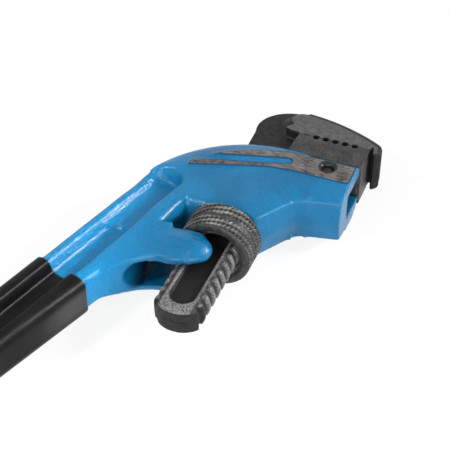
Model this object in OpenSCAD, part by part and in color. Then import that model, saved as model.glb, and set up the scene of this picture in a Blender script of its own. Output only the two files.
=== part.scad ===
// Offset pipe wrench: a cast body with an angled I-beam handle, a threaded hook jaw
// that slides through the head, and a captive nut that drives it.
//
// Every sub-part is drawn from the adjusting nut: X towards the mouth, Y up along the
// shank, Z across the thickness, zero on the nut's axis at its lower face.
// in_place() then puts the origin at the middle of the closed mouth.

/* [Mouth] */
// Height of the heel jaw's tooth line above the nut's lower face
mouth_y = 93; // [91:0.5:96]
// Length of the heel jaw's toothed face
mouth_len = 39; // [36:0.5:42]
// Thickness of both jaws
jaw_t = 24; // [22:0.5:25]
// Gap between the two tooth lines when the jaws are closed
mouth_gap = 0.25; // [0.2:0.05:0.5]
// Spacing of the teeth
tooth_pitch = 5.27; // [5:0.05:5.6]
// Width of the gap between two teeth, at the tooth line
tooth_gap = 3.6; // [3:0.1:4.2]
// Depth of the gap between two teeth
tooth_depth = 1.7; // [1.2:0.1:2.2]
// Number of full gaps between teeth
tooth_count = 5; // [4:1:5]

/* [Thread] */
// Width of the hook jaw's threaded shank, across the crests
shank_w = 25; // [24:0.25:26]
// Thickness of the shank
shank_t = 12.6; // [11.6:0.2:13]
// Pitch of the thread
thread_pitch = 6; // [5.6:0.1:6.4]
// Depth of the thread in the shank
thread_depth = 2.2; // [1.6:0.1:2.4]
// Width of a thread groove at its floor
groove_w = 2.5; // [2:0.1:2.8]
// Angle of each thread flank from square
flank_angle = 17.5; // [12:0.5:20]
// Clearance between the nut's thread and the shank's, on each face
thread_gap = 0.25; // [0.22:0.01:0.35]
// Length of the shank below the nut when the jaws are closed
tail_len = 49; // [44:1:52]

/* [Adjusting nut] */
// Outer diameter over the knurled bands
nut_d = 38; // [36.5:0.5:39]
// Length of the nut
nut_len = 17.6; // [17:0.2:18.4]
// Play between the nut and each side of its window
nut_play = 0.4; // [0.3:0.05:0.6]
// Width of the smooth groove between the two knurled bands
nut_groove_w = 3.4; // [2:0.2:4.4]
// Depth of that groove
nut_groove_depth = 0.6; // [0.4:0.1:1]
// Chamfer at both ends of the nut
nut_chamfer = 1; // [0.6:0.1:1.4]

/* [Hook jaw] */
// Height of the hook's back above the tooth line
hook_h = 28.5; // [27:0.5:31]
// Outer radius of the hook's bend
hook_r = 21.5; // [20.5:0.25:22.5]
// Reach of the nose past the heel jaw
nose_reach = 6.5; // [5:0.5:8]
// Depth of the forged pocket in each face of the shank
shank_pocket = 2.4; // [1.4:0.1:3]
// Width of the forged pocket
shank_pocket_w = 13; // [11:0.5:14.5]
// Radius of the hook's long back, in side view
back_r = 96; // [90:1:104]
// Rounding of the hook's back, across it
hook_round = 9; // [6:0.5:10]

/* [Heel jaw] */
// Height of the heel jaw above its seat
heel_h = 16; // [15:0.5:17]
// Depth of the tongue in the head
tongue_depth = 19.5; // [17:0.5:20.5]
// Thickness of the tongue
tongue_t = 13.8; // [12:0.2:14.4]
// Clearance round the tongue in its slot
tongue_gap = 0.15; // [0.1:0.05:0.3]
// Diameter of the heel jaw's pin
pin_d = 6; // [5:0.25:7]
// Radial clearance of the pin in its hole
pin_gap = 0.02; // [0.01:0.01:0.05]
// Length of the pin
pin_len = 27; // [24:0.5:31]

/* [Body] */
// Thickness of the head over its ground strips
head_t = 32; // [31:0.5:34]
// Thickness of the head over its painted cheeks
cheek_t = 29.6; // [28.6:0.2:30.4]
// Outer radius of the head's bend
bend_r = 78; // [76.5:0.5:79.5]
// Distance from the nut's axis to the centre of that bend
bend_x = 22.5; // [20:0.5:25]
// Distance from the nut's axis to the front of the head
front_x = 50; // [48:0.5:51]
// Clearance between the shank and its passage
passage_gap = 0.4; // [0.3:0.05:0.6]
// Width of the slot between the fork's two fingers
fork_slot_w = 16; // [14.6:0.2:17]
// Depth of the fork, from the nut's lower face to the fork's corner
fork_h = 18; // [16:0.5:20]
// Reach of the fork's tip past the nut's axis
fork_tip = 1.2; // [0:0.2:3]
// Slope of the fork's lower edge
fork_slope = 18; // [15:0.5:21]
// Radius of the crotch between the fork and the handle
crotch_r = 38; // [34:0.5:42]

/* [Handle] */
// Angle between the handle and the shank
handle_tilt = 15; // [13:0.5:17]
// Distance from the nut's axis to the handle's centre line
handle_off = 43; // [42:0.25:44]
// Width of the handle
handle_w = 26; // [25:0.5:28]
// Thickness of the handle
handle_t = 20; // [18:0.5:22]
// Corner radius of the handle's edges
handle_round = 4; // [2.5:0.25:5]
// Distance from the nut's height down to the centre of the hang hole
handle_len = 182; // [165:1:200]
// Thickness of the web between the two flanges
web_t = 7; // [6:0.5:9]
// Thickness of the web under the blank panel beside the head
panel_t = 12; // [10:0.5:14]
// Diameter of the hang hole
hang_d = 13; // [11:0.5:15]

/* [Grip] */
// Wall of the dipped grip
grip_wall = 1.5; // [1:0.1:2]
// Distance from the nut's height down to the grip's upper edge
grip_start = 58.5; // [56:0.5:64]
// Width of the bare ring round the hang hole
hang_ring = 1.8; // [1:0.2:3]

/* [Springs] */
// Thickness of the flat spring
leaf_t = 0.8; // [0.6:0.05:1]
// Width of the flat spring
leaf_w = 9; // [8:0.25:10]
// Length of the flat spring
leaf_len = 40; // [34:0.5:42]
// Rise of the flat spring's bow
leaf_bow = 1.4; // [1:0.1:1.8]
// Wire diameter of the coil spring
coil_wire = 0.9; // [0.7:0.05:1.1]
// Outer diameter of the coil spring
coil_d = 7; // [6:0.25:8]
// Length of the fitted coil spring
coil_len = 8.5; // [7.5:0.25:10]
// Turns of the coil spring
coil_turns = 5; // [4:0.5:6]

/* [Hidden] */
$fn = 96;
far = 400;
slack = 1;

// Mouth
heel_x0 = 11.5;                       // rear end of the toothed face
heel_x1 = heel_x0 + mouth_len;        // front end of the toothed face
head_top = mouth_y - heel_h;          // seat of the heel jaw
hook_line = mouth_y + mouth_gap;      // the hook jaw's tooth line
first_gap_x = heel_x1 - 8.5 - tooth_pitch * (tooth_count - 1);

// Thread
crest_r = shank_w / 2;
root_r = crest_r - thread_depth;
lead_angle = atan(thread_pitch / (PI * (crest_r + root_r)));
thread_top = 19;                      // upper end of the thread, above the nut
neck_front = crest_r - 2.6;
neck_rear = -crest_r - 0.4;

// Body
head_z = head_t / 2;
cheek_z = cheek_t / 2;
seat_y = nut_len + nut_play;
bend = [bend_x, head_top + 1 - bend_r];
passage_front = crest_r + 0.5;
tongue_x0 = 17;
tongue_x1 = front_x - 5;
tongue_y0 = head_top - tongue_depth;
pin_at = [35.8, head_top - 10.6];

// Springs
leaf_y = 46;
leaf_face = passage_front - 0.15;     // face of the flat spring, at its middle
leaf_back = leaf_face + leaf_bow + leaf_t;
coil_x = leaf_face + leaf_t;

// Handle, in its own frame: x across it, y along it towards the head
pocket_off = -1.7;                    // the pocket lies nearer the rear flange
pocket_w = 16;                        // width of the pocket at the handle's faces
pocket_lean = 0.385;                  // how much its walls lean out
pocket_end = hang_d + 3;              // from the hang hole to the pocket's lower end
panel_y0 = -21;
panel_y1 = 18;

function on_handle(x, y) =
    [(x - handle_off) * cos(handle_tilt) + y * sin(handle_tilt),
     y * cos(handle_tilt) - (x - handle_off) * sin(handle_tilt)];
function dir(a) = [cos(a), sin(a)];
function cross2(a, b) = a.x * b.y - a.y * b.x;
// Where the line through p along angle a meets the line through q along angle b
function meet(p, a, q, b) = p + dir(a) * cross2(q - p, dir(b)) / cross2(dir(a), dir(b));
// The point k times as far from p as q is
function past(p, q, k = 1.2) = p + k * (q - p);
// A rounded edge: how far in the surface is cut, at each height, up to the height z
function edge_round(d, h, z = cheek_z, n = 4) =
    let (arc = [for (i = [0:n]) [d * (1 - cos(90 * i / n)), z - h + h * sin(90 * i / n)]])
    [for (i = [0:n]) i < n ? arc[i] : past(arc[n - 1], arc[n])];

// Outline of the body, at mid-thickness
fork_corner = [-9.3, -fork_h - nut_play];
handle_front = on_handle(handle_w / 2, 0);
crotch = meet(handle_front, 90 - handle_tilt, fork_corner, fork_slope);
crotch_turn = 90 - handle_tilt - fork_slope;
crotch_run = crotch_r * tan(crotch_turn / 2);
crotch_low = crotch - crotch_run * dir(90 - handle_tilt);
crotch_high = crotch + crotch_run * dir(fork_slope);
crotch_centre = crotch_low + crotch_r * dir(-handle_tilt);
fork_nose = [fork_tip - 2, -7.5];
fork_slot_x = -27;                    // centre of the slot's rounded inner end
fork_top = [fork_tip, -nut_play];
leg_tip = [18, seat_y + 1.7];
front_low = [front_x, seat_y + 25.4];
leg_rise = 58;                        // slope of the leg's underside
front_rise = 12.5;                    // slope of the underside beyond the knee
knee_r = 9;
knee = meet(leg_tip, leg_rise, front_low, front_rise);
knee_run = knee_r * tan((leg_rise - front_rise) / 2);
knee_low = knee - knee_run * dir(leg_rise);
knee_high = knee + knee_run * dir(front_rise);
knee_centre = knee_low + knee_r * dir(leg_rise - 90);
window_low = [-26.5, -nut_play];
window_high = [-22, seat_y];
rear_low = on_handle(-handle_w / 2, -grip_start + 0.5);
rear_high = on_handle(-handle_w / 2, 18);
bend_end = 158;

module in_place() translate([-(heel_x0 + heel_x1) / 2, -mouth_y, 0]) children();

module along_handle() rotate([0, 0, -handle_tilt]) translate([-handle_off, 0, 0]) children();

// Turns a shape drawn about Z so that it lies about Y, with its height along +Y
module about_y() rotate([-90, 0, 0]) children();

module both_faces() {
    children();
    mirror([0, 0, 1]) children();
}

// ---- cutters that shape the casting's edges ----

module edge_section(profile) {
    points = concat([[-slack, profile[0].y]], profile,
                    [[profile[len(profile) - 1].x, head_z + slack], [-slack, head_z + slack]]);
    polygon(points);
}

// The body lies on the left of the line from p to q
module edge_cut(p, q, profile, before = 0, after = 0) {
    run = q - p;
    both_faces()
        translate([p.x, p.y, 0]) rotate([0, 0, atan2(run.y, run.x)])
            translate([-before, 0, 0]) rotate([90, 0, 90])
                linear_extrude(norm(run) + before + after) edge_section(profile);
}

// The body lies inside the arc of radius r that turns from angle a by turn
module arc_cut(centre, r, a, turn, profile) {
    both_faces()
        translate([centre.x, centre.y, 0]) rotate([0, 0, a])
            rotate_extrude(angle = turn)
                translate([r, 0]) mirror([1, 0]) edge_section(profile);
}

// The body lies outside the arc of radius r that turns from angle a by turn
module hollow_cut(centre, r, a, turn, profile) {
    both_faces()
        translate([centre.x, centre.y, 0]) rotate([0, 0, a])
            rotate_extrude(angle = turn) translate([r, 0]) edge_section(profile);
}

// ---- body ----

module body_outline() {
    intersection() {
        polygon([front_low, [front_x, head_top], [-80, head_top], rear_high, rear_low,
                 on_handle(handle_w / 2, -grip_start + 0.5), crotch_low, crotch, fork_corner,
                 fork_nose, fork_top, [fork_tip, seat_y], [leg_tip.x - 1, seat_y], leg_tip, knee]);
        union() {
            translate(bend) circle(r = bend_r);
            translate([bend.x, head_top - far]) square([far, far]);
            translate([-far, -far]) square([far + bend.x, far + bend.y]);
        }
    }
    fillet(crotch_low, crotch_high, crotch - 3 * dir(45), crotch_centre, crotch_r);
    fillet(knee_low, knee_high, knee + 2 * dir(125), knee_centre, knee_r);
}

// Fills a hollow corner: corner lies inside the body, centre outside it
module fillet(low, high, corner, centre, r) {
    difference() {
        polygon([low, high, corner]);
        translate(centre) circle(r = r);
    }
}

// The cheeks swell from the handle's thickness to the head's
module side_taper() {
    along_handle() translate([-far / 2, 0, 0]) rotate([90, 0, 90]) linear_extrude(far)
        polygon([[-grip_start, -5], [-40, -handle_t / 2 - 0.5], [-5, -cheek_z], [far, -cheek_z],
                 [far, cheek_z], [-5, cheek_z], [-40, handle_t / 2 + 0.5], [-grip_start, 5]]);
}

module head_casting() {
    rim = edge_round(6, 6.4);
    low_break = [2.6, cheek_z - 2.4];
    underside = [[-0.06, 0], [1.9, cheek_z - 3.2], low_break, past(low_break, [13, cheek_z], 1.1)];
    rear_break = [4, cheek_z - 4.6];
    rear = [[0, cheek_z - 8.8], [1.2, cheek_z - 5.7], rear_break, past(rear_break, [9, cheek_z])];
    fork_round = edge_round(6, 6);
    difference() {
        intersection() {
            linear_extrude(cheek_t, center = true) body_outline();
            side_taper();
        }
        arc_cut(bend, bend_r, 90, bend_end - 90, rim);
        edge_cut([front_x, head_top], [bend.x, head_top], rim, 2);
        edge_cut(rear_high, rear_low, rear, 4);
        edge_cut(front_low, [front_x, head_top], edge_round(1.6, 1.6), 2, 2);
        edge_cut(leg_tip, knee_low, underside, 4);
        hollow_cut(knee_centre, knee_r, 90 + front_rise, leg_rise - front_rise, underside);
        edge_cut(knee_high, front_low, underside, 0, 2);
        hollow_cut(crotch_centre, crotch_r, 90 + fork_slope, crotch_turn, edge_round(7, 8.8));
        edge_cut(crotch_high, fork_corner, fork_round, 0, 1.5);
        edge_cut(fork_corner, fork_nose, fork_round, 1.5, 1);
        edge_cut(fork_nose, fork_top, fork_round, 1, 3);
    }
}

// Ground strip along the head: the high metal that a grinding wheel has taken flat,
// parted at the rear by a cast channel
module strip_outline() {
    strip_top = bend_r - 6.2;
    channel_tip = [15.2, seat_y + 45.6];
    channel_tilt = 16;
    channel_w = 4.7;
    difference() {
        intersection() {
            polygon([[front_x, seat_y + 39.3], [front_x, head_top - 5.8], [bend.x, head_top + 6],
                     [-21, head_top - 15], [-26, head_top - 20], [-26, head_top - 27],
                     [-30, head_top - 28], [-31.5, seat_y + 24.4], [-11, seat_y + 31.7],
                     [8.5, seat_y + 37.8], [19, seat_y + 38.9]]);
            union() {
                translate(bend) circle(r = strip_top);
                translate([bend.x - 1, bend.y]) square([far, strip_top]);
            }
        }
        translate(channel_tip) rotate(channel_tilt) {
            circle(d = channel_w);
            translate([-far, -channel_w / 2]) square([far, channel_w]);
        }
    }
}

// Bar of the handle with its round lower end; grow makes the grip's outside from it
module handle_bar(grow = 0, top = 18) {
    w = handle_w + 2 * grow;
    t = handle_t + 2 * grow;
    r = handle_round + grow;
    module rounded() {
        for (x = [-1, 1], y = [-1, 1]) translate([x * (w / 2 - r), y * (t / 2 - r)]) circle(r = r);
        square([w, t - 2 * r], center = true);
        square([w - 2 * r, t], center = true);
    }
    along_handle() {
        translate([0, top, 0]) rotate([90, 0, 0]) linear_extrude(handle_len + top) rounded();
        translate([0, -handle_len, 0]) rotate_extrude() intersection() {
            rounded();
            translate([0, -far / 2]) square(far);
        }
    }
}

// Half-width of the pocket at height z
function pocket_half(z, grow) = pocket_w / 2 + (z - handle_t / 2) * pocket_lean - 1.07 * grow;

module pocket_cut(y0, y1, floor_z, grow = 0) {
    z0 = floor_z + grow;
    z1 = head_z + slack;
    a = pocket_half(z0, grow);
    b = pocket_half(z1, grow);
    both_faces() along_handle() translate([pocket_off, 0, 0]) {
        translate([0, y1, 0]) rotate([90, 0, 0]) linear_extrude(y1 - y0)
            polygon([[-a, z0], [a, z0], [b, z1], [-b, z1]]);
        for (y = [y0, y1]) translate([0, y, 0]) rotate_extrude()
            polygon([[0, z0], [a, z0], [b, z1], [0, z1]]);
    }
}

module handle_pocket(grow = 0) {
    pocket_cut(-handle_len + pocket_end + pocket_w / 2, panel_y0, web_t / 2, grow);
}

module passage() {
    z = shank_t / 2 + passage_gap;
    x0 = neck_rear - passage_gap;
    translate([x0, seat_y - slack, -z]) cube([passage_front - x0, far, 2 * z]);
}

module nut_window() {
    scoop_break = [2, cheek_z - 2.8];
    scoop = [[0, cheek_z - 3.6], scoop_break, past(scoop_break, [9, cheek_z])];
    linear_extrude(2 * head_z + 2, center = true)
        polygon([window_low, [far, -nut_play], [far, seat_y], window_high]);
    edge_cut(fork_top, window_low + [6, 0], scoop, 3);
    edge_cut(window_low, window_high, edge_round(4, 4.4), 1, 0);
    edge_cut(window_high, [leg_tip.x, seat_y], edge_round(6, 5.6), 0, 4);
}

module fork_slot() {
    z = fork_slot_w / 2;
    reach = far / 2;
    translate([fork_slot_x, -reach, -z]) cube([reach, reach + slack, 2 * z]);
    translate([fork_slot_x, -reach, 0]) about_y() cylinder(r = z, h = reach + slack);
}

module heel_slot() {
    z = tongue_t / 2 + tongue_gap;
    translate([tongue_x0 - tongue_gap, tongue_y0 - tongue_gap, -z]) cube([far, far, 2 * z]);
}

module heel_pin_hole() {
    sink = 1.4;
    translate([pin_at.x, pin_at.y, 0]) {
        cylinder(d = pin_d + 2 * pin_gap, h = far, center = true);
        both_faces() translate([0, 0, head_z - sink])
            cylinder(r1 = pin_d / 2, r2 = pin_d / 2 + 1.1 * (sink + slack), h = sink + slack);
    }
}

module spring_pocket() {
    z = leaf_w / 2 + 0.5;
    run = leaf_len + 2;
    translate([0, leaf_y - run / 2, -z]) cube([leaf_back, run, 2 * z]);
    translate([0, leaf_y, 0]) rotate([0, 90, 0]) cylinder(d = coil_d + 0.8, h = coil_x + coil_len);
}

module hang_hole(ring = 0) {
    along_handle() translate([0, -handle_len, 0])
        cylinder(d = hang_d + 2 * ring, h = far, center = true);
}

module body() {
    color("#2a7fb8") in_place() difference() {
        union() {
            head_casting();
            linear_extrude(head_t, center = true) strip_outline();
            handle_bar();
        }
        passage();
        nut_window();
        fork_slot();
        heel_slot();
        heel_pin_hole();
        spring_pocket();
        handle_pocket();
        pocket_cut(panel_y0, panel_y1, panel_t / 2);
        hang_hole();
    }
}

// ---- grip ----

module grip() {
    color("#1c1c1e") in_place() difference() {
        handle_bar(grip_wall, -grip_start);
        handle_pocket(grip_wall);
        difference() {
            handle_bar(0, -grip_start + slack);
            handle_pocket();
        }
        hang_hole(hang_ring);
    }
}

// ---- jaws ----

// Gaps between teeth, cut across the tooth line at height y into the body on one side
module tooth_gaps(y, side) {
    for (i = [0:tooth_count - 1])
        tooth_gap_at(first_gap_x + i * tooth_pitch, y, side, tooth_gap, tooth_depth);
    tooth_gap_at(first_gap_x - tooth_pitch, y, side, tooth_gap, 0.3);
}

module tooth_gap_at(x, y, side, w, d) {
    lean = 0.3 * w;
    translate([x, y, 0]) linear_extrude(jaw_t + 2, center = true)
        polygon([[-w / 2 - 0.5, -side], [w / 2 + 0.5, -side], [w / 2, 0],
                 [lean, side * d], [-lean, side * d], [-w / 2, 0]]);
}

module heel_jaw() {
    color("#5b5a57") in_place() difference() {
        union() {
            linear_extrude(jaw_t, center = true)
                polygon([[heel_x0 - 1, head_top], [heel_x1, head_top], [heel_x1, mouth_y - 1],
                         [heel_x1 - 1, mouth_y], [heel_x0, mouth_y]]);
            linear_extrude(tongue_t, center = true)
                polygon([[tongue_x0 + 2, tongue_y0], [tongue_x1, tongue_y0],
                         [tongue_x1, head_top + slack], [tongue_x0, head_top + slack],
                         [tongue_x0, tongue_y0 + 2]]);
        }
        tooth_gaps(mouth_y, -1);
        translate([pin_at.x, pin_at.y, 0]) cylinder(d = pin_d + 2 * pin_gap, h = far, center = true);
    }
}

module heel_jaw_pin() {
    lead_in = 0.6;
    color("#3c3b3a") in_place() translate([pin_at.x, pin_at.y, 0]) {
        cylinder(d = pin_d, h = pin_len - 2 * lead_in, center = true);
        both_faces() translate([0, 0, pin_len / 2 - lead_in])
            cylinder(r1 = pin_d / 2, r2 = pin_d / 2 - lead_in, h = lead_in);
    }
}

// One thread groove across an edge of the shank: side 1 is the front edge, -1 the rear
module thread_groove(side) {
    reach = crest_r + 1.5;
    floor_half = groove_w / 2;
    top_half = floor_half + (reach - root_r) * tan(flank_angle);
    rotate([side * lead_angle, 0, 0]) about_y()
        rotate([0, 0, side > 0 ? -50 : 130]) rotate_extrude(angle = 100)
            polygon([[root_r, -floor_half], [reach, -top_half], [reach, top_half],
                     [root_r, floor_half]]);
}

module shank() {
    tail_r = 14;
    pocket_r = shank_pocket_w / 2;
    pocket_low = 7 - tail_len + pocket_r;
    pocket_high = 10;
    first = ceil(-tail_len / thread_pitch);
    last = floor(thread_top / thread_pitch);
    difference() {
        intersection() {
            about_y() translate([0, 0, -tail_len]) cylinder(r = crest_r, h = tail_len + thread_top + 4);
            linear_extrude(shank_t, center = true) {
                translate([0, tail_r - tail_len]) circle(r = tail_r);
                translate([-far / 2, tail_r - tail_len]) square(far);
            }
        }
        for (k = [first:last]) {
            translate([0, k * thread_pitch, 0]) thread_groove(1);
            translate([0, (k + 0.5) * thread_pitch, 0]) thread_groove(-1);
        }
        both_faces() translate([0, 0, shank_t / 2 - shank_pocket]) linear_extrude(far) {
            for (y = [pocket_low, pocket_high]) translate([0, y]) circle(r = pocket_r);
            translate([-pocket_r, pocket_low]) square([shank_pocket_w, pocket_high - pocket_low]);
        }
    }
}

nose_x = heel_x1 + nose_reach;
hook_top = mouth_y + hook_h;
neck_bend = [neck_rear + hook_r - 1.4, hook_top - hook_r];
back_centre = [3, hook_top + 0.2 - back_r];
jaw_root = [10, hook_top - 14.5];
jaw_root_r = 13;
nose_low = [nose_x - 0.4, mouth_y - 0.7];
nose_high = [nose_x, mouth_y + 5.5];
shoulder = [nose_x - 5, mouth_y + 14.8];

// Front of the hook, from the first tooth to the top of its back
module mouth_outline() {
    slot_x = heel_x1 + 0.1;
    lip_x = heel_x1 + 1.8;
    intersection() {
        polygon([[heel_x0 - 0.1, hook_line], [slot_x, hook_line], [slot_x, hook_line + 3],
                 [lip_x, hook_line + 3], [lip_x, mouth_y - 2], [lip_x + 1.1, mouth_y - 2.8],
                 nose_low, nose_high, shoulder, [shoulder.x - 9, hook_top + 6],
                 [jaw_root.x, hook_top + 6], [jaw_root.x, hook_line + 2]]);
        translate(back_centre) circle(r = back_r);
    }
}

module hook_outline() {
    polygon([[neck_rear, thread_top], [crest_r, thread_top], [crest_r, thread_top + 2],
             [neck_front, thread_top + 5], [neck_front, hook_line - 1.2],
             [heel_x0 - 0.1, hook_line], [heel_x0 + 0.9, hook_line + 9], neck_bend,
             neck_bend + hook_r * dir(195), [neck_rear, head_top + 3]]);
    translate(neck_bend) intersection() {
        circle(r = hook_r);
        translate([-far / 2, -6]) square(far);
    }
}

module hook_jaw() {
    jaw_z = jaw_t / 2;
    neck_z = shank_t / 2;
    back = edge_round(hook_round, hook_round, jaw_z);
    nose = edge_round(2.5, 2.5, jaw_z);
    blend_foot = [0, neck_z - 0.6];
    blend = [blend_foot, past(blend_foot, [6.5, jaw_z])];
    color("#4a4a4a") in_place() difference() {
        union() {
            shank();
            linear_extrude(shank_t, center = true) {
                hook_outline();
                mouth_outline();
            }
            difference() {
                linear_extrude(jaw_t, center = true) {
                    mouth_outline();
                    translate(jaw_root) circle(r = jaw_root_r);
                }
                arc_cut(back_centre, back_r, 50, 36, back);
                arc_cut(jaw_root, jaw_root_r, 86, 150, blend);
                edge_cut(nose_low, nose_high, nose, 4, 3);
                edge_cut(nose_high, shoulder, nose, 3, 4);
            }
        }
        tooth_gaps(hook_line, 1);
    }
}

// ---- adjusting nut ----

// Points of one section of the nut's thread ridge, turned by a and raised by a's lead
function ridge_section(a, z0) =
    let (foot_r = crest_r + thread_gap + 0.35,
         tip_r = root_r + thread_gap,
         half = groove_w / 2 - thread_gap,
         lift = z0 + thread_pitch * a / 360)
    [for (p = [[tip_r, -1], [foot_r, -1], [foot_r, 1], [tip_r, 1]])
        [p.x * cos(a), p.x * sin(a), lift + p.y * (half + (p.x - root_r) * tan(flank_angle))]];

// A closed solid through a row of sections of n points each
module swept(sections, n) {
    last = len(sections) - 1;
    sides = [for (i = [0:last - 1], j = [0:n - 1])
        [i * n + j, i * n + (j + 1) % n, (i + 1) * n + (j + 1) % n, (i + 1) * n + j]];
    caps = [[for (j = [n - 1:-1:0]) j], [for (j = [0:n - 1]) last * n + j]];
    polyhedron([for (s = sections) each s], concat(sides, caps));
}

module nut_thread() {
    steps_a_turn = 30;
    inset = 2.3;
    start = inset * 360 / thread_pitch;
    turn = (nut_len - 2 * inset) * 360 / thread_pitch;
    steps = round(turn * steps_a_turn / 360);
    swept([for (i = [0:steps]) ridge_section(start + turn * i / steps, 0)], 4);
}

module adjusting_nut() {
    r = nut_d / 2;
    bore_r = crest_r + thread_gap;
    mouth_r = bore_r + 1.6;
    g0 = (nut_len - nut_groove_w) / 2;
    g1 = (nut_len + nut_groove_w) / 2;
    g = nut_groove_depth;
    color("#4b4742") in_place() about_y() {
        rotate_extrude() polygon([
            [bore_r, 1.6], [mouth_r, 0], [r - nut_chamfer, 0], [r, nut_chamfer], [r, g0 - g],
            [r - g, g0], [r - g, g1], [r, g1 + g], [r, nut_len - nut_chamfer],
            [r - nut_chamfer, nut_len], [mouth_r, nut_len], [bore_r, nut_len - 1.6]]);
        nut_thread();
    }
}

// ---- springs ----

module flat_spring() {
    r = (leaf_len * leaf_len / 4 + leaf_bow * leaf_bow) / (2 * leaf_bow);
    color("#8a8d90") in_place() translate([leaf_face + r, leaf_y, 0])
        linear_extrude(leaf_w, center = true) intersection() {
            difference() {
                circle(r = r, $fn = 720);
                circle(r = r - leaf_t, $fn = 720);
            }
            translate([-r - slack, -leaf_len / 2]) square([r, leaf_len]);
        }
}

module coil_spring() {
    steps_a_turn = 16;
    r = (coil_d - coil_wire) / 2;
    rise = coil_len - coil_wire;
    steps = round(coil_turns * steps_a_turn);
    function ring(a, z) = [for (j = [0:5])
        let (q = r + coil_wire / 2 * cos(60 * j)) [q * cos(a), q * sin(a), z + coil_wire / 2 * sin(60 * j)]];
    color("#9a9da0") in_place() translate([coil_x, leaf_y, 0]) rotate([0, 90, 0])
        translate([0, 0, coil_wire / 2])
            swept([for (i = [0:steps]) ring(360 * coil_turns * i / steps, rise * i / steps)], 6);
}

body();
grip();
heel_jaw();
heel_jaw_pin();
hook_jaw();
adjusting_nut();
flat_spring();
coil_spring();
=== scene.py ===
import math

import bmesh
import bpy
from mathutils import Matrix, Vector, noise


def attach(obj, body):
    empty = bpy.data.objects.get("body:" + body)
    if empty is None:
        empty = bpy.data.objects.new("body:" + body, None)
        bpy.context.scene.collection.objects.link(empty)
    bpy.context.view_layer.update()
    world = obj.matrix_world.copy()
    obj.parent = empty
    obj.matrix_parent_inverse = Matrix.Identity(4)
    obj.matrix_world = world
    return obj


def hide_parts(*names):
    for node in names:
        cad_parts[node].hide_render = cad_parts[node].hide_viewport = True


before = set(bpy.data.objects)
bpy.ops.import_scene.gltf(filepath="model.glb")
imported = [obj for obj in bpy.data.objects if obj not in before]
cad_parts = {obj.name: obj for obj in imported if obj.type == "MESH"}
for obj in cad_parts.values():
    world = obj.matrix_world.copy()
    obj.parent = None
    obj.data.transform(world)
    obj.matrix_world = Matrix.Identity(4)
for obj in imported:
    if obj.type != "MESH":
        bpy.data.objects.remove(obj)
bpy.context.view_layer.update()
mm = 0.001
nutAxisX = -31.0   # the shank and the nut lie on this line, in mm
nutLow = -93.0     # the nut's lower face
jawOrigin = Vector((nutAxisX, nutLow))   # the shapes below are laid out from this point, in mm
print("frame loaded:", sorted(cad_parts))


class Wire:  # a socket that can be added, multiplied and so on
    def __init__(self, tree, socket):
        self.tree = tree
        self.socket = socket

    def node(self, kind, values=None, output=0, **settings):
        made = self.tree.nodes.new(kind)
        for key, value in settings.items():
            setattr(made, key, value)
        for key, value in (values or {}).items():
            if isinstance(value, Wire):
                self.tree.links.new(value.socket, made.inputs[key])
            else:
                made.inputs[key].default_value = value
        return Wire(self.tree, made.outputs[output])

    def calc(self, operation, *terms):
        return self.node("ShaderNodeMath", dict(enumerate(terms)), operation=operation)

    def __add__(self, other):
        return self.calc("ADD", self, other)

    __radd__ = __add__

    def __sub__(self, other):
        return self.calc("SUBTRACT", self, other)

    def __rsub__(self, other):
        return self.calc("SUBTRACT", other, self)

    def __mul__(self, other):
        return self.calc("MULTIPLY", self, other)

    __rmul__ = __mul__

    def __truediv__(self, other):
        return self.calc("DIVIDE", self, other)

    def size(self):
        return self.calc("ABSOLUTE", self)

    def least(self, other):
        return self.calc("MINIMUM", self, other)

    def most(self, other):
        return self.calc("MAXIMUM", self, other)

    def part(self):  # what is left over a whole number
        return self.calc("FRACT", self)

    def rise(self, low, high):  # 0 below low, 1 above high
        return self.node("ShaderNodeMapRange", {0: self, 1: low, 2: high, 3: 0.0, 4: 1.0},
                         interpolation_type="SMOOTHSTEP")

    def fall(self, low, high):  # 1 below low, 0 above high
        return 1 - self.rise(low, high)

    def axis(self, name):
        return self.node("ShaderNodeSeparateXYZ", {0: self}, output="XYZ".index(name))

    def axisMm(self, name):
        return self.axis(name) * 1000

    def speckle(self, scale, detail=2.0, roughness=0.5, stretch=None, turn=0.0):
        where = self
        if stretch:
            where = self.node("ShaderNodeMapping", {"Vector": self, "Scale": stretch,
                                                    "Rotation": (0, 0, turn)})
        return self.node("ShaderNodeTexNoise", {"Vector": where, "Scale": scale, "Detail": detail,
                                                "Roughness": roughness})

    def tint(self, low, high):  # a colour between two, by this value
        return self.node("ShaderNodeMix", {0: self, 6: paintable(low), 7: paintable(high)}, output=2,
                         data_type="RGBA")


def paintable(colour):
    return colour if isinstance(colour, Wire) else (*colour, 1)


def grey(level):
    return (level, level, level)


def startMaterial(name, gloss):
    material = bpy.data.materials.new(name)
    material.use_nodes = True
    tree = material.node_tree
    shader = tree.nodes["Principled BSDF"]
    shader.inputs["Specular IOR Level"].default_value = gloss
    place = Wire(tree, tree.nodes.new("ShaderNodeTexCoord").outputs["Object"])
    return material, shader, place


def feed(shader, socket, wire):
    wire.tree.links.new(wire.socket, shader.inputs[socket])


def roughen(shader, *layers):  # layers of (height, how far it stands in mm)
    normal = None
    for height, reach in layers:
        values = {"Height": height, "Distance": reach * mm, "Strength": 1.0}
        if normal:
            values["Normal"] = normal
        normal = height.node("ShaderNodeBump", values)
    feed(shader, "Normal", normal)


def mergedCopy(node, name):
    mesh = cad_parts[node].data.copy()
    mesh.name = name
    mesh.materials.clear()
    bm = bmesh.new()
    bm.from_mesh(mesh)
    bmesh.ops.remove_doubles(bm, verts=bm.verts, dist=0.004 * mm)
    bm.to_mesh(mesh)
    bm.free()
    piece = bpy.data.objects.new(name, mesh)
    bpy.context.scene.collection.objects.link(piece)
    return piece


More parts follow.
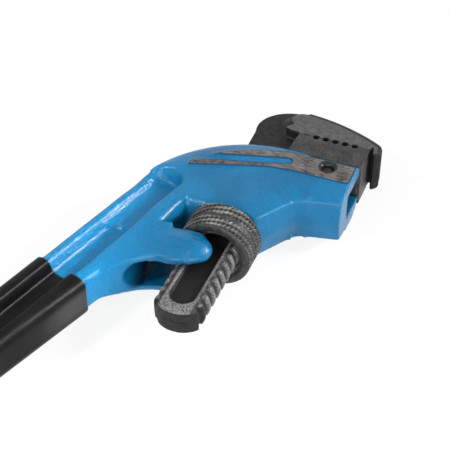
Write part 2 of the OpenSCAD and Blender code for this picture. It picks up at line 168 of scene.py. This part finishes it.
def settle(piece):  # live modifiers become plain mesh
    graph = bpy.context.evaluated_depsgraph_get()
    mesh = bpy.data.meshes.new_from_object(piece.evaluated_get(graph))
    piece.modifiers.clear()
    piece.data = mesh
    mesh.name = piece.name


def soften(piece, look):  # the soft edges of a casting, a forging or a dipped coat
    remesh = piece.modifiers.new("remesh", "REMESH")
    remesh.mode = "VOXEL"
    remesh.voxel_size = look["voxel"] * mm
    smooth = piece.modifiers.new("smooth", "SMOOTH")
    smooth.factor = 0.5
    smooth.iterations = look["rounds"]
    settle(piece)


def reshape(piece, shift):
    for vertex in piece.data.vertices:
        vertex.co += shift(vertex.co)


def smoothFaces(piece):
    for face in piece.data.polygons:
        face.use_smooth = True


def finish(piece, material, body, node):
    piece.data.materials.clear()
    piece.data.materials.append(material)
    for face in piece.data.polygons:
        face.material_index = 0
    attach(piece, body)
    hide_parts(node)
    print(piece.name, len(piece.data.polygons), "faces")


def ramp(value, low, high):
    t = max(0.0, min(1.0, (value - low) / (high - low)))
    return t * t * (3 - 2 * t)


# The handle and the bend get a finer form than the solids have, and the grip follows them.
castForm = {
    "tilt": 15.0, "behind": 43.0,          # the handle's centre line
    "solidBend": (22.5, 0.0, 78.0),        # the rear bend's centre and radius in the solid
    "fullBend": (11.5, 12.5, 66.0),        # and the fuller one's
    "bendEnd": (14.0, 24.0),               # the fuller bend fades out between these x
    "join": 6.0,                           # half the stretch where bend and straight edge run together
    "solidEdge": 13.0, "rearEdge": 15.5,   # half widths, from the centre line
    "rearDepth": (0.5, 6.0),               # the rear edge's change fades out this far in
    "taper": 0.061, "taperZero": -60.2,    # the front edge draws in below this height, and out above it
    "frontDepth": 9.0,                     # its change fades out this far in
    "crotch": (-28.0, 2.0), "boss": (-168.0, -138.0),   # heights where the changes fade out
}
handleTilt = math.radians(castForm["tilt"])
across = Vector((math.cos(handleTilt), -math.sin(handleTilt)))
along = Vector((math.sin(handleTilt), math.cos(handleTilt)))


def onBend(spot, bend):  # 1 beside the bend, 0 beside the straight edge
    reach = castForm["join"]
    return ramp(spot.dot(along) - Vector(bend[:2]).dot(along), -reach, reach)


def insideRear(spot, bend, edge):  # how far a point lies inside the casting's rear edge
    arc = bend[2] - (spot - Vector(bend[:2])).length
    line = spot.dot(across) + castForm["behind"] + edge
    return line + (arc - line) * onBend(spot, bend)


def castShift(co):  # fuller bend, tapering handle
    form = castForm
    spot = Vector((co.x, co.y)) / mm - jawOrigin
    side = spot.dot(across) + form["behind"]
    high = spot.dot(along)
    solid = insideRear(spot, form["solidBend"], form["solidEdge"])
    gap = insideRear(spot, form["fullBend"], form["rearEdge"]) - solid
    out = (spot - Vector(form["fullBend"][:2])).normalized()
    out = (-across).lerp(out, onBend(spot, form["fullBend"])).normalized()
    hold = ramp(high, *form["boss"])
    rear = gap * (1 - ramp(solid, *form["rearDepth"])) * hold * (1 - ramp(spot.x, *form["bendEnd"]))
    front = (high - form["taperZero"]) * form["taper"] * hold * (1 - ramp(high, *form["crotch"]))
    front = front * ramp(side, form["solidEdge"] - form["frontDepth"], form["solidEdge"])
    shift = out * rear + across * front
    return Vector((shift.x, shift.y, 0)) * mm


# Body: a painted casting with ground cheeks.
bodyLook = {
    "voxel": 0.9, "rounds": 5,
    "groundHeight": 15.9,                            # the cheeks, from the middle plane
    "fingerX": (-24.0, 4.0), "fingerY": (-22.0, 0.0),
    "fingerMiddle": (-7.0, -8.0), "fingerReach": 9.0, "fingerRise": 7.6, "fingerDrop": 8.5,
    "fingerSag": 0.148,                              # the lower edge behind the rounded end
    "solidFinger": ((-7.0, -0.4), (1.2, -0.4), (-0.8, -7.5), (-7.0, -15.4)),
    "solidFace": 14.8, "solidRound": 2.2, "solidRoundY": (-3.2, -0.2),
    "ridgeFace": 15.6, "ridgeY": -3.6, "ridgeWidth": 9.0,
    "hollowFace": 13.6, "lowFace": 14.1, "lowDepth": (9.0, 12.0),
    "faceSkin": (4.0, 11.0), "faceEnd": (12.5, 16.0),
    "paint": (0.002, 0.108, 0.24), "thinPaint": (0.005, 0.14, 0.298),
    # the handle's brighter blue is painted light, for the handle lies further from the lamps
    "handlePaintedLight": (0.004, 0.2, 0.43), "handleLightX": (-80, -50),
    # the darkest blue serves for random dark flecks and for painted shade round the ground flats
    "shadeAndGrainBlue": (0.001, 0.03, 0.085),
    "slotShadePaint": (0.0005, 0.006, 0.016),           # painted shade in the slot between the fork's fingers
    "slotShadeZ": (7.3, 8.6), "slotShadeY": (-93, -91), "slotShadeRear": (-98, -89), "slotShadeLean": 0.27,
    "pinAt": (4.8, -26.6), "boreRing": (5.1, 5.4), "boreZ": (12, 13), "boreSteel": (0.012, 0.011, 0.011),
    "steel": (0.22, 0.204, 0.194), "darkSteel": (0.022, 0.021, 0.02),
}


def edgeDistance(start, ray, outline):  # from start along ray to a chain of points
    for a, b in zip(outline, outline[1:]):
        a, b = Vector(a) - start, Vector(b) - start
        span = b - a
        under = ray.x * span.y - ray.y * span.x
        if abs(under) < 1e-9:
            continue
        far = (a.x * span.y - a.y * span.x) / under
        share = (a.x * ray.y - a.y * ray.x) / under
        if far > 0 and -1e-6 <= share <= 1 + 1e-6:
            return far
    return None


def fingerEdge(spot):  # the fork finger's outline becomes a rounded end
    look = bodyLook
    middle = Vector(look["fingerMiddle"])
    out = spot - middle
    if out.x > 0:
        ray = out.normalized()
        solid = edgeDistance(middle, ray, look["solidFinger"])
        high = look["fingerRise"] if out.y > 0 else look["fingerDrop"]
        full = 1 / math.hypot(ray.x / look["fingerReach"], ray.y / high)
        if solid:
            return out * (full / solid - 1)
    elif out.y < 0:
        return Vector((0, out.y * look["fingerSag"] * ramp(spot.x, look["fingerX"][0], middle.x)))
    return Vector((0, 0))


def fingerFace(spot, z):  # and its flat face a ridge with a hollow below it
    look = bodyLook
    middle = look["fingerMiddle"][0]
    ease = ramp(spot.x, look["fingerX"][0], middle - 3)
    ease *= (1 - ramp(spot.x - middle, 1, look["fingerReach"])) * ramp(z, *look["faceSkin"])
    flat = look["solidFace"] - look["solidRound"] * ramp(spot.y, *look["solidRoundY"])
    ridge = look["ridgeFace"] - (spot.y - look["ridgeY"]) ** 2 / look["ridgeWidth"]
    swell = (look["lowFace"] - look["hollowFace"]) * ramp(-spot.y, *look["lowDepth"])
    ridge = max(ridge, look["hollowFace"] + swell)
    return (ridge - flat) * ease * (1 - ramp(-spot.y, *look["faceEnd"]))


def fingerShift(co):
    low, high = bodyLook["fingerX"]
    bottom, top = bodyLook["fingerY"]
    spot = Vector((co.x, co.y)) / mm - jawOrigin
    if not (low <= spot.x <= high and bottom <= spot.y <= top):
        return Vector((0, 0, 0))
    edge = fingerEdge(spot)
    return Vector((edge.x, edge.y, math.copysign(fingerFace(spot, abs(co.z) / mm), co.z))) * mm


def bodyPaint(place, x, y, height, drift, bare):
    look = bodyLook
    paint = drift.rise(0.35, 0.7).tint(look["paint"], look["thinPaint"])
    # painted light: the handle is given a brighter blue, as it lies further from the lamps
    paint = (x.fall(*look["handleLightX"]) * 0.8).tint(paint, look["handlePaintedLight"])
    # painted shade: a dark band where the surface falls away round the ground flats
    rim = height.rise(look["groundHeight"] - 0.55, look["groundHeight"] - 0.2) * (1 - bare)
    paint = (rim * 0.9).tint(paint, look["shadeAndGrainBlue"])
    grain = place.speckle(1300, 2.0, 0.6)
    paint = (grain.rise(0.42, 0.62) * 0.22).tint(paint, look["shadeAndGrainBlue"])
    # painted shade: near black in the slot between the fork's fingers
    slotShade = height.fall(*look["slotShadeZ"]) * y.fall(*look["slotShadeY"])
    slotShade = slotShade * (x + y * look["slotShadeLean"]).rise(*look["slotShadeRear"])
    paint = slotShade.tint(paint, look["slotShadePaint"])
    fromX = x - look["pinAt"][0]
    fromY = y - look["pinAt"][1]
    fromPin = place.calc("SQRT", fromX * fromX + fromY * fromY)
    bored = fromPin.fall(*look["boreRing"]) * height.rise(*look["boreZ"])
    return bored.tint(paint, look["boreSteel"])


def bodyMaterial():
    look = bodyLook
    material, shader, place = startMaterial("glossBluePaint", gloss=0.25)
    x, y = place.axisMm("X"), place.axisMm("Y")
    height = place.axis("Z").size() * 1000
    bare = height.rise(look["groundHeight"] - 0.09, look["groundHeight"] - 0.03)
    drift = place.speckle(45, 3.0)
    brushed = place.speckle(260, 4.0, 0.6, stretch=(1.0, 7.0, 1.0), turn=0.16)
    stain = place.speckle(150, 4.0, 0.65)
    steel = (brushed * 0.6 + stain * 0.4).rise(0.36, 0.62).tint(look["darkSteel"], look["steel"])
    feed(shader, "Base Color", bare.tint(bodyPaint(place, x, y, height, drift, bare), steel))
    feed(shader, "Metallic", bare * 0.75)
    feed(shader, "Roughness", 0.2 + drift * 0.08 + bare * (0.22 + brushed * 0.2))
    peel = place.speckle(700, 2.0, 0.55)
    sand = place.speckle(150, 2.0, 0.5)
    roughen(shader, (sand * (1 - bare), 0.4), (peel * (1 - bare), 0.3), (brushed * bare, 0.16))
    return material


def makeBody():
    look = bodyLook
    piece = mergedCopy("body", "bodyCasting")
    soften(piece, look)
    reshape(piece, castShift)
    reshape(piece, fingerShift)
    top = look["groundHeight"] * mm
    for vertex in piece.data.vertices:  # the grinding wheel's flat
        vertex.co.z = max(-top, min(top, vertex.co.z))
    smoothFaces(piece)
    finish(piece, bodyMaterial(), "frame", "body")


makeBody()

# Grip: dipped vinyl, with a painted reflection, a lighter grey, along its front edge.
gripLook = {
    "voxel": 0.65, "rounds": 6,
    # the light grey is a painted reflection along the front side of the grip
    "black": (0.0025, 0.0025, 0.003), "worn": (0.006, 0.006, 0.0065), "paintedSheen": (0.035, 0.035, 0.036),
    "paintedSheenSide": (12.5, 14.0), "paintedSheenZ": (3.0, 9.0),
}


def gripMaterial():
    look = gripLook
    material, shader, place = startMaterial("blackDippedVinyl", gloss=0.11)
    x = place.axisMm("X") - nutAxisX
    y = place.axisMm("Y") - nutLow
    side = x * across.x + y * across.y + castForm["behind"]
    # painted reflection: a lighter grey along the front side, away from the flat faces
    paintedSheen = side.rise(*look["paintedSheenSide"]) * place.axisMm("Z").size().fall(*look["paintedSheenZ"])
    black = place.speckle(60, 3.0).rise(0.3, 0.7).tint(look["black"], look["worn"])
    feed(shader, "Base Color", paintedSheen.tint(black, look["paintedSheen"]))
    grain = place.speckle(1100, 3.0)
    feed(shader, "Roughness", 0.27 + grain * 0.08)
    roughen(shader, (place.speckle(90, 2.0), 0.2), (grain, 0.07))
    return material


def makeGrip():
    piece = mergedCopy("grip", "dippedGrip")
    soften(piece, gripLook)
    reshape(piece, castShift)
    smoothFaces(piece)
    finish(piece, gripMaterial(), "frame", "grip")


makeGrip()

# Adjusting nut: turned, with two knurled bands and an inner thread.
nutLook = {
    "radius": 19.0, "length": 17.6, "chamfer": 0.9,
    "lowRim": 1.0, "lowChamfer": 1.6, "lip": 0.2, "lipLow": 0.35,   # the lower rim and its two steps
    "topRim": 0.6, "topLip": 0.25,
    "grooveLow": 7.9, "grooveHigh": 10.1, "grooveDepth": 0.55,
    "knurlCount": 60, "knurlPitch": 3.2, "knurlDepth": 0.85,
    "crossShare": 0.3, "knurlFlat": 0.72,                           # crossing grooves, flat ridge tops
    "bore": 12.75, "lead": 1.6, "lowMouth": 2.7, "threadWall": 0.3,
    "pitch": 6.0, "threadDepth": 2.2, "threadRidge": (0.17, 0.29),
    "columns": 600,
    "dark": (0.028, 0.028, 0.028), "darkWorn": (0.06, 0.059, 0.057),
    "knurl": (0.085, 0.084, 0.082), "knurlWorn": (0.19, 0.186, 0.18),
    # the near black is painted shade for the knurl grooves
    "rust": (0.2, 0.12, 0.075), "sunk": (0.006, 0.006, 0.006),
}


def nutProfile():
    look = nutLook
    rows = []  # radius, height, knurl share, thread share

    def line(a, b, count, knurl=0.0, thread=0.0):
        for i in range(count):
            t = i / count
            rows.append((a[0] + t * (b[0] - a[0]), a[1] + t * (b[1] - a[1]), knurl, thread))

    r, length, lead, edge = look["radius"], look["length"], look["lead"], 0.2
    rim, low, high, top = look["lowRim"], look["grooveLow"], look["grooveHigh"], length - look["topRim"]
    floor = r - look["grooveDepth"]
    bore = look["bore"] + look["threadWall"]
    mouth, lowMouth, entry = look["bore"] + lead, look["bore"] + look["lowMouth"], look["bore"] + 0.5
    line((lowMouth, 0), (r - look["lowChamfer"], 0), 4)
    line((r - look["lowChamfer"], 0), (r - look["lipLow"], rim * 0.6), 4)
    line((r - look["lipLow"], rim * 0.6), (r - look["lip"], rim), 3)
    line((r, rim + 0.15), (r, low - edge), 20, knurl=1)
    line((floor, low), (floor, high), 6)
    line((r, high + edge), (r, top - edge), 22, knurl=1)
    line((r - look["topLip"], top), (r - look["chamfer"], length), 2)
    line((r - look["chamfer"], length), (mouth, length), 4)
    line((mouth, length), (entry, length - lead), 3)
    line((bore, length - lead - edge), (bore, lead + edge), 56, thread=1)
    line((entry, lead), (lowMouth, 0), 3)
    return rows


def knurlHeight(turn, rise, given):  # deep grooves that lean one way, crossed by shallow ones
    look = nutLook
    lean = rise / given["Knurl Pitch"]
    around = turn * given["Knurl Count"]
    crossing = 1 - ((around + lean).part() * 2 - 1).size()
    leaning = 1 - ((around - lean + 100).part() * 2 - 1).size()
    both = leaning.least(crossing * look["crossShare"] + (1 - look["crossShare"]))
    return both.least(look["knurlFlat"]) * (1 / look["knurlFlat"])


def threadHeight(turn, rise, given):  # one ridge that climbs as it goes round
    climb = ((rise / given["Thread Pitch"] - turn + 100.5).part() - 0.5).size()
    return climb.fall(*nutLook["threadRidge"])


def ringTree():
    look = nutLook
    tree = bpy.data.node_groups.new("turnedRing", "GeometryNodeTree")
    tree.interface.new_socket("Profile", in_out="INPUT", socket_type="NodeSocketGeometry")
    sockets = {}
    for name, kind, value in (("Columns", "NodeSocketInt", look["columns"]),
                              ("Rows", "NodeSocketInt", 10),
                              ("Knurl Count", "NodeSocketFloat", look["knurlCount"]),
                              ("Knurl Pitch", "NodeSocketFloat", look["knurlPitch"] * mm),
                              ("Knurl Depth", "NodeSocketFloat", look["knurlDepth"] * mm),
                              ("Thread Pitch", "NodeSocketFloat", look["pitch"] * mm),
                              ("Thread Depth", "NodeSocketFloat", look["threadDepth"] * mm)):
        made = tree.interface.new_socket(name, in_out="INPUT", socket_type=kind)
        made.default_value = value
        sockets[name] = made.identifier
    made = tree.interface.new_socket("Finish", in_out="INPUT", socket_type="NodeSocketMaterial")
    sockets["Finish"] = made.identifier
    tree.interface.new_socket("Ring", in_out="OUTPUT", socket_type="NodeSocketGeometry")

    entry = tree.nodes.new("NodeGroupInput")
    given = {socket.name: Wire(tree, socket) for socket in entry.outputs if socket.name}
    profile, rows = given["Profile"], given["Rows"]
    grid = profile.node("GeometryNodeMeshGrid", {"Size X": 1.0, "Size Y": 1.0,
                                                 "Vertices X": given["Columns"] + 1,
                                                 "Vertices Y": rows + 1})
    index = profile.node("GeometryNodeInputIndex")
    row = profile.calc("MODULO", profile.calc("MODULO", index, rows + 1), rows)

    def atRow(kind, value):
        return profile.node("GeometryNodeSampleIndex", {"Geometry": profile, "Value": value, "Index": row},
                            data_type=kind, domain="POINT")

    def share(name):
        value = profile.node("GeometryNodeInputNamedAttribute", {"Name": name}, data_type="FLOAT")
        return atRow("FLOAT", value)

    spot = atRow("FLOAT_VECTOR", profile.node("GeometryNodeInputPosition"))
    turn = profile.node("GeometryNodeInputPosition").axis("X") + 0.5
    rise = spot.axis("Y")
    sunk = (1 - knurlHeight(turn, rise, given)) * share("knurl")
    ridge = threadHeight(turn, rise, given) * share("thread")
    radius = spot.axis("X") - sunk * given["Knurl Depth"] - ridge * given["Thread Depth"]

    angle = turn * (-2 * math.pi)
    where = profile.node("ShaderNodeCombineXYZ", {0: radius * profile.calc("COSINE", angle), 1: rise,
                                                  2: radius * profile.calc("SINE", angle)})
    ring = profile.node("GeometryNodeSetPosition", {"Geometry": grid, "Position": where})
    # the knurl depth is kept for the finish, which paints shade into the grooves
    ring = profile.node("GeometryNodeStoreNamedAttribute", {"Geometry": ring, "Name": "sunk", "Value": sunk},
                        data_type="FLOAT", domain="POINT")
    ring = profile.node("GeometryNodeMergeByDistance", {"Geometry": ring, "Distance": 0.002 * mm})
    ring = profile.node("GeometryNodeRealizeInstances", {"Geometry": ring})
    ring = profile.node("GeometryNodeSetMaterial", {"Geometry": ring, "Material": given["Finish"]})
    leave = tree.nodes.new("NodeGroupOutput")
    tree.links.new(ring.socket, leave.inputs["Ring"])
    return tree, sockets


def nutMaterial():
    look = nutLook
    material, shader, place = startMaterial("phosphatedNut", gloss=0.3)
    sunk = place.node("ShaderNodeAttribute", output=2, attribute_name="sunk")
    mottle = place.speckle(420, 3.0)
    worn = mottle.rise(0.3, 0.7)
    rust = place.speckle(240, 3.0, 0.6).rise(0.55, 0.75)
    height = place.axisMm("Y") - nutLow
    lowBand = height.rise(look["lowRim"], look["lowRim"] + 0.3)
    lowBand = lowBand * height.fall(look["grooveLow"] - 0.2, look["grooveLow"])
    topBand = height.rise(look["grooveHigh"], look["grooveHigh"] + 0.3)
    topBand = topBand * height.fall(look["length"] - 0.7, look["length"] - 0.5)
    band = lowBand + topBand
    steel = band.tint(worn.tint(look["dark"], look["darkWorn"]), worn.tint(look["knurl"], look["knurlWorn"]))
    steel = (rust * band * 0.5).tint(steel, look["rust"])
    # painted shade: the knurl grooves grow darker with their depth
    feed(shader, "Base Color", sunk.rise(0.08, 0.6).tint(steel, look["sunk"]))
    feed(shader, "Metallic", 0.55 - sunk * 0.3)
    feed(shader, "Roughness", 0.42 + mottle * 0.16)
    roughen(shader, (place.speckle(1800, 2.0), 0.03))
    return material


def makeNut():
    rows = nutProfile()
    mesh = bpy.data.meshes.new("adjustingNut")
    mesh.from_pydata([(row[0] * mm, row[1] * mm, 0) for row in rows], [], [])
    for name, column in (("knurl", 2), ("thread", 3)):
        values = mesh.attributes.new(name, "FLOAT", "POINT")
        values.data.foreach_set("value", [row[column] for row in rows])
    piece = bpy.data.objects.new("adjustingNut", mesh)
    bpy.context.scene.collection.objects.link(piece)
    tree, sockets = ringTree()
    ring = piece.modifiers.new("ring", "NODES")
    ring.node_group = tree
    ring[sockets["Rows"]] = len(rows)
    ring[sockets["Columns"]] = nutLook["columns"]
    material = nutMaterial()
    ring[sockets["Finish"]] = material
    settle(piece)
    mesh = piece.data
    mesh.transform(Matrix.Translation((nutAxisX * mm, nutLow * mm, 0)))
    bm = bmesh.new()
    bm.from_mesh(mesh)
    bmesh.ops.recalc_face_normals(bm, faces=bm.faces)
    bm.to_mesh(mesh)
    bm.free()
    smoothFaces(piece)
    mesh.set_sharp_from_angle(angle=math.radians(28))
    finish(piece, material, "nut", "adjusting_nut")


makeNut()

# Hook jaw: a drop forging with a lower, rounder back than the solid has.
hookLook = {
    "voxel": 0.5, "rounds": 3,
    "mouth": 93.0, "height": 28.5,                       # the tooth line and the back, over the nut
    "squash": 0.155, "fall": 0.001, "fallStart": 13.0,   # how far the back comes down, and more in front
    "nose": 50.0, "pull": 0.26, "pullTop": 0.8,          # how far the nose draws in, most at the tooth line
    "flash": 0.45, "slight": 0.1, "flashWidth": 0.7,     # burrs round the tail
    "flashTop": -35.0, "slightAbove": -47.5,             # the nut passes over all above this height
    "widest": 12.55, "tailCore": 8.0,
    "neck": (20, 26), "flatZ": (6.1, 6.25), "cheekZ": (11.75, 11.95),
    "pocketX": (6.0, 6.5), "pocketZ": (4.6, 6.0), "pocketTop": (16, 17), "pocketLow": (-43, -41),
    "edgeX": (7.6, 8.4), "rootRadius": (10.6, 12.2), "rimZ": (5.7, 6.15), "tailEnd": (-39, -36),
    "forged": (0.006, 0.006, 0.006), "forgedWorn": (0.018, 0.0175, 0.017),
    "milled": (0.075, 0.075, 0.075), "milledWorn": (0.125, 0.124, 0.122),
    "edge": (0.04, 0.04, 0.04), "edgeBright": (0.25, 0.248, 0.245),
    # the root colour is painted shade for the thread roots at the shank's edges
    "groove": (0.012, 0.012, 0.012), "pocket": (0.004, 0.004, 0.004),
}


def hookShift(co):
    look = hookLook
    spot = Vector((co.x, co.y)) / mm - jawOrigin
    lift = spot.y - look["mouth"]
    if lift < 0:
        return Vector((0, 0, 0))
    share = lift / look["height"]
    drop = lift * look["squash"] + share * look["fall"] * max(0.0, spot.x - look["fallStart"]) ** 2
    pull = look["pull"] * max(0.0, look["pullTop"] - share) * max(0.0, spot.x - look["nose"])
    return Vector((-pull, -drop, 0)) * mm


def flashShift(co):  # forging flash round the tail, along its middle plane
    look = hookLook
    tail = Vector((nutAxisX * mm, (nutLow + look["flashTop"]) * mm, 0))
    height = abs(co.z) / mm
    out = Vector((co.x - tail.x, co.y - tail.y, 0))
    if height >= look["flashWidth"] or out.y >= 0 or out.length <= look["tailCore"] * mm:
        return Vector((0, 0, 0))
    ragged = 0.6 + 0.8 * noise.noise(co * 900)
    most = look["slight"] if co.y >= (nutLow + look["slightAbove"]) * mm else look["flash"]
    grown = most * mm * (1 - height / look["flashWidth"]) * max(0.0, ragged)
    shift = out.normalized() * grown
    reach = co.x + shift.x - tail.x
    shift.x = math.copysign(min(abs(reach), look["widest"] * mm), reach) + tail.x - co.x
    return shift


def hookMaterial():
    look = hookLook
    material, shader, place = startMaterial("darkForging", gloss=0.25)
    x = place.axisMm("X") - nutAxisX
    y = place.axisMm("Y") - nutLow
    z = place.axisMm("Z").size()
    width = x.size()
    mottle = place.speckle(330, 4.0, 0.6)
    grit = place.speckle(1500, 3.0, 0.6)
    worn = mottle.rise(0.3, 0.7)
    shank = y.fall(*look["neck"])
    milled = (shank * z.rise(*look["flatZ"]) + z.rise(*look["cheekZ"])).least(1.0)
    steel = (milled * 0.9).tint(worn.tint(look["forged"], look["forgedWorn"]),
                                worn.tint(look["milled"], look["milledWorn"]))
    pocket = width.fall(*look["pocketX"]) * z.fall(*look["pocketZ"])
    pocket = pocket * y.fall(*look["pocketTop"]) * y.rise(*look["pocketLow"])
    crest = width.rise(*look["edgeX"]) * y.rise(*look["tailEnd"])
    rubbed = shank * (1 - pocket) * z.rise(*look["rimZ"]).most(crest)
    steel = (rubbed * 0.85).tint(steel, grit.rise(0.35, 0.65).tint(look["edge"], look["edgeBright"]))
    fromAxis = place.calc("SQRT", x * x + z * z)
    # painted shade: the thread roots at the shank's edges are darkened
    groove = shank * fromAxis.fall(*look["rootRadius"]) * width.rise(*look["edgeX"])
    steel = (groove * 0.85).tint(steel, look["groove"])
    feed(shader, "Base Color", pocket.tint(steel, look["pocket"]))
    feed(shader, "Metallic", 0.15 + milled * 0.3)
    feed(shader, "Roughness", 0.5 + grit * 0.15)
    roughen(shader, (mottle, 0.25), (grit, 0.07))
    return material


def makeHook():
    piece = mergedCopy("hook_jaw", "hookJaw")
    soften(piece, hookLook)
    reshape(piece, hookShift)
    reshape(piece, flashShift)
    smoothFaces(piece)
    finish(piece, hookMaterial(), "hook", "hook_jaw")


makeHook()

# Heel jaw: a machined block with a tongue.
heelLook = {
    "edge": 0.3, "edgeSteps": 2,
    "steel": (0.018, 0.018, 0.0175), "steelWorn": (0.075, 0.074, 0.072),
}


def heelMaterial():
    look = heelLook
    material, shader, place = startMaterial("machinedJaw", gloss=0.3)
    streak = place.speckle(330, 4.0, 0.65, stretch=(6.0, 0.7, 1.0), turn=-0.2)
    stain = place.speckle(120, 3.0)
    worn = (streak * 0.7 + stain * 0.3).rise(0.34, 0.66)
    feed(shader, "Base Color", worn.tint(look["steel"], look["steelWorn"]))
    feed(shader, "Metallic", 0.45 + stain * 0.1)
    feed(shader, "Roughness", 0.38 + streak * 0.2)
    roughen(shader, (streak, 0.09))
    return material


def makeHeel():
    piece = mergedCopy("heel_jaw", "heelJaw")
    bm = bmesh.new()
    bm.from_mesh(piece.data)
    bmesh.ops.dissolve_limit(bm, angle_limit=math.radians(1), verts=bm.verts, edges=bm.edges)
    bm.to_mesh(piece.data)
    bm.free()
    bevel = piece.modifiers.new("bevel", "BEVEL")
    bevel.width = heelLook["edge"] * mm
    bevel.segments = heelLook["edgeSteps"]
    bevel.limit_method = "ANGLE"
    bevel.angle_limit = math.radians(30)
    settle(piece)
    smoothFaces(piece)
    piece.data.set_sharp_from_angle(angle=math.radians(35))
    finish(piece, heelMaterial(), "frame", "heel_jaw")


makeHeel()

# The pin and the springs keep their shapes: a finish, two colours and a roughness for each.
plainLook = {
    "heel_jaw_pin": ("dullPin", (0.02, 0.019, 0.018), (0.06, 0.055, 0.05), 0.5),
    "flat_spring": ("bluedSpring", (0.16, 0.17, 0.19), (0.28, 0.29, 0.31), 0.25),
    "coil_spring": ("springWire", grey(0.3), grey(0.45), 0.25),
}


def plainSteel(name, dark, light, rough):
    material, shader, place = startMaterial(name, gloss=0.5)
    mottle = place.speckle(700, 3.0)
    feed(shader, "Base Color", mottle.rise(0.3, 0.7).tint(dark, light))
    feed(shader, "Metallic", 0.7 + mottle * 0.1)
    feed(shader, "Roughness", rough + mottle * 0.15)
    roughen(shader, (mottle, 0.03))
    return material


for node, finishing in plainLook.items():
    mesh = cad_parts[node].data
    mesh.materials.clear()
    mesh.materials.append(plainSteel(*finishing))
print("pin and springs dressed")

# Camera, light and floor.
stageLook = {
    "eye": (0.1341, -0.4870, 0.3947), "ahead": (-0.2806, 0.6967, -0.6602), "lens": 96,
    "skyForLight": 0.55,
    "floorHeight": -19.2, "floorHalf": 3.0, "floorColour": grey(0.92), "floorGlow": 0.86,
    "middle": (-0.02, -0.06, 0), "gripMiddle": (-0.15, -0.22, 0),
}


def makeCamera():
    data = bpy.data.cameras.new("camera")
    data.lens = stageLook["lens"]
    data.sensor_width = 36
    data.clip_end = 20
    camera = bpy.data.objects.new("camera", data)
    camera.location = stageLook["eye"]
    camera.rotation_euler = Vector(stageLook["ahead"]).to_track_quat("-Z", "Y").to_euler()
    bpy.context.scene.collection.objects.link(camera)
    bpy.context.scene.camera = camera


def seenDirect(tree):  # 1 for what the camera sees straight, in gloss or through glass
    paths = tree.nodes.new("ShaderNodeLightPath").outputs
    seen = Wire(tree, paths["Is Camera Ray"])
    return seen.most(Wire(tree, paths["Is Glossy Ray"])).most(Wire(tree, paths["Is Transmission Ray"]))


def makeWorld():
    world = bpy.data.worlds.new("studio")
    bpy.context.scene.world = world
    world.use_nodes = True
    tree = world.node_tree
    back = tree.nodes["Background"]
    back.inputs["Color"].default_value = (1, 1, 1, 1)
    strength = stageLook["skyForLight"] + seenDirect(tree) * (1 - stageLook["skyForLight"])
    tree.links.new(strength.socket, back.inputs["Strength"])


def makeFloor():
    look = stageLook
    half = look["floorHalf"]
    z = look["floorHeight"] * mm
    corners = [(-half, -half, z), (half, -half, z), (half, half, z), (-half, half, z)]
    mesh = bpy.data.meshes.new("floor")
    mesh.from_pydata(corners, [], [(0, 1, 2, 3)])
    floor = bpy.data.objects.new("floor", mesh)
    bpy.context.scene.collection.objects.link(floor)
    material = bpy.data.materials.new("paleFloor")
    material.use_nodes = True
    tree = material.node_tree
    tree.nodes.clear()
    seen = seenDirect(tree)
    matt = seen.node("ShaderNodeBsdfDiffuse", {"Color": paintable(look["floorColour"])})
    glow = seen.node("ShaderNodeEmission", {"Color": (1, 1, 1, 1), "Strength": 1.0})
    mixed = seen.node("ShaderNodeMixShader", {0: seen * look["floorGlow"], 1: matt, 2: glow})
    out = tree.nodes.new("ShaderNodeOutputMaterial")
    tree.links.new(mixed.socket, out.inputs["Surface"])
    mesh.materials.append(material)


def softLamp(name, place, aim, size, power, spread=180):
    data = bpy.data.lights.new(name, "AREA")
    data.shape = "RECTANGLE"
    data.size, data.size_y = size
    data.energy = power
    data.spread = math.radians(spread)
    lamp = bpy.data.objects.new(name, data)
    lamp.location = place
    lamp.rotation_euler = (Vector(aim) - Vector(place)).to_track_quat("-Z", "Y").to_euler()
    bpy.context.scene.collection.objects.link(lamp)


makeCamera()
makeWorld()
makeFloor()
softLamp("rightLamp", (0.85, 0.25, 0.58), stageLook["middle"], (0.1, 0.1), 6.0)
softLamp("leftLamp", (-0.5, -0.65, 0.72), stageLook["middle"], (0.1, 0.1), 6.0)
softLamp("gripLamp", (0.56, 0.18, 0.39), stageLook["gripMiddle"], (0.2, 0.2), 0.16, spread=15)
softLamp("fillLamp", (0.3, -1.0, 0.3), stageLook["middle"], (0.6, 0.3), 6.0)
bpy.context.scene.view_settings.view_transform = "Standard"
print("stage set")
